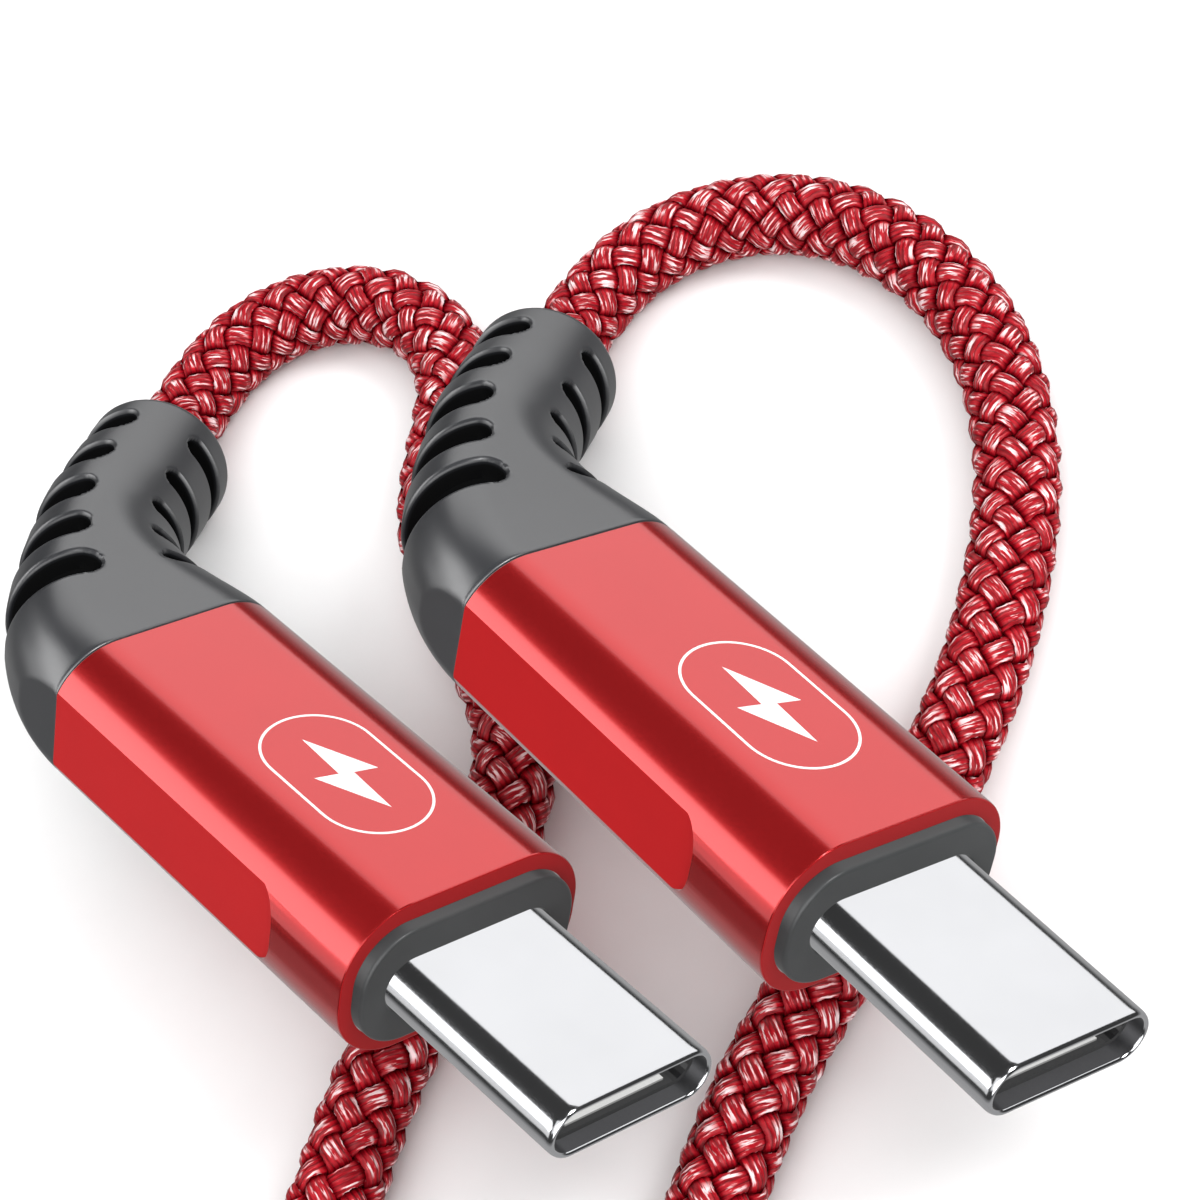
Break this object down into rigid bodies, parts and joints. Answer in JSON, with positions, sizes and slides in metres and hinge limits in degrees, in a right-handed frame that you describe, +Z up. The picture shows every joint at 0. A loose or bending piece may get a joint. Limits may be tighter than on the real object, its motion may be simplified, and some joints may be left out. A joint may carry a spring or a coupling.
{
  "type": "charging cable",
  "caption": "Braided red charging cable with identical flat reversible plugs, bent grey boots and its middle wound into a tied coil.",
  "frame": {"origin": "on the surface, at the bottom centre of the box round the two plugs", "axes": "+Z up from the surface the cable lies on, +X along the first plug towards its tip"},
  "size_m": [0.1065, 0.101, 0.0141],
  "materials": {
    "sleeve": "red anodised, satin, fine bead-blasted grain",
    "collar": "dark grey moulded, satin",
    "tip": "polished nickel-plated steel",
    "boot": "dark grey flexible moulding, satin",
    "insert": "black moulding",
    "contacts": "gold plated",
    "spring_steel": "bright spring steel",
    "circuit_card": "green solder mask",
    "chip": "black epoxy",
    "inner_frame": "natural white moulding",
    "wire_red": "red insulation",
    "wire_black": "black insulation",
    "wire_green": "green insulation",
    "wire_white": "white insulation",
    "wire_blue": "blue insulation",
    "jacket": "black inner jacket",
    "ferrule": "crimped ring",
    "braid": "glossy red nylon braid",
    "tie": "black hook-and-loop strap"
  },
  "bodies": {
    "cable": {"sleeve_a": "sleeve", "collar_a": "collar", "tip_a": "tip", "boot_a": "boot", "insert_a": "insert", "earth_spring_upper_a": "spring_steel", "earth_spring_lower_a": "spring_steel", "circuit_card_a": "circuit_card", "marker_chip_a": "chip", "resistor_a": "chip", "inner_frame_upper_a": "inner_frame", "inner_frame_lower_a": "inner_frame", "wire_power_a": "wire_red", "wire_ground_a": "wire_black", "wire_data_plus_a": "wire_green", "wire_data_minus_a": "wire_white", "wire_config_a": "wire_blue", "jacket_a": "jacket", "ferrule_a": "ferrule", "sleeve_b": "sleeve", "collar_b": "collar", "tip_b": "tip", "boot_b": "boot", "insert_b": "insert", "earth_spring_upper_b": "spring_steel", "earth_spring_lower_b": "spring_steel", "circuit_card_b": "circuit_card", "marker_chip_b": "chip", "resistor_b": "chip", "inner_frame_upper_b": "inner_frame", "inner_frame_lower_b": "inner_frame", "wire_power_b": "wire_red", "wire_ground_b": "wire_black", "wire_data_plus_b": "wire_green", "wire_data_minus_b": "wire_white", "wire_config_b": "wire_blue", "jacket_b": "jacket", "ferrule_b": "ferrule", "cord_a": "braid", "cord_b": "braid", "cord_coil": "braid", "coil_tie": "tie"},
    "contacts_upper_a": {"contacts_upper_a": "contacts"},
    "contacts_lower_a": {"contacts_lower_a": "contacts"},
    "latch_right_a": {"latch_right_a": "spring_steel"},
    "latch_left_a": {"latch_left_a": "spring_steel"},
    "contacts_upper_b": {"contacts_upper_b": "contacts"},
    "contacts_lower_b": {"contacts_lower_b": "contacts"},
    "latch_right_b": {"latch_right_b": "spring_steel"},
    "latch_left_b": {"latch_left_b": "spring_steel"}
  },
  "joints": [
    {"name": "contacts_upper_a_flex", "type": "hinge", "parent": "cable", "child": "contacts_upper_a", "pos_m": [0.0235, 0.0044, 0.00903], "axis": [0, -0.8387, 0.5446], "range_deg": [0, 2], "stiffness_Nm_per_rad": 0.00005},
    {"name": "contacts_lower_a_flex", "type": "hinge", "parent": "cable", "child": "contacts_lower_a", "pos_m": [0.0235, 0.0044, 0.00903], "axis": [0, 0.8387, -0.5446], "range_deg": [0, 2], "stiffness_Nm_per_rad": 0.00005},
    {"name": "latch_right_a_flex", "type": "hinge", "parent": "cable", "child": "latch_right_a", "pos_m": [0.0235, 0.00723, 0.00719], "axis": [0, 0.5446, 0.8387], "range_deg": [0, 1.8], "stiffness_Nm_per_rad": 0.00005},
    {"name": "latch_left_a_flex", "type": "hinge", "parent": "cable", "child": "latch_left_a", "pos_m": [0.0235, 0.00157, 0.01087], "axis": [0, -0.5446, -0.8387], "range_deg": [0, 1.8], "stiffness_Nm_per_rad": 0.00005},
    {"name": "contacts_upper_b_flex", "type": "hinge", "parent": "cable", "child": "contacts_upper_b", "pos_m": [0.01249, -0.00861, 0.00903], "axis": [0.0585, -0.8366, 0.5446], "range_deg": [0, 2], "stiffness_Nm_per_rad": 0.00005},
    {"name": "contacts_lower_b_flex", "type": "hinge", "parent": "cable", "child": "contacts_lower_b", "pos_m": [0.01249, -0.00861, 0.00903], "axis": [-0.0585, 0.8366, -0.5446], "range_deg": [0, 2], "stiffness_Nm_per_rad": 0.00005},
    {"name": "latch_right_b_flex", "type": "hinge", "parent": "cable", "child": "latch_right_b", "pos_m": [0.0123, -0.00578, 0.00719], "axis": [-0.038, 0.5433, 0.8387], "range_deg": [0, 1.8], "stiffness_Nm_per_rad": 0.00005},
    {"name": "latch_left_b_flex", "type": "hinge", "parent": "cable", "child": "latch_left_b", "pos_m": [0.01269, -0.01144, 0.01087], "axis": [0.038, -0.5433, -0.8387], "range_deg": [0, 1.8], "stiffness_Nm_per_rad": 0.00005}
  ],
  "couplings": [
    {"joint": "contacts_lower_a_flex", "follows": "contacts_upper_a_flex", "ratio": 1},
    {"joint": "latch_left_a_flex", "follows": "latch_right_a_flex", "ratio": 1},
    {"joint": "contacts_lower_b_flex", "follows": "contacts_upper_b_flex", "ratio": 1},
    {"joint": "latch_left_b_flex", "follows": "latch_right_b_flex", "ratio": 1}
  ]
}
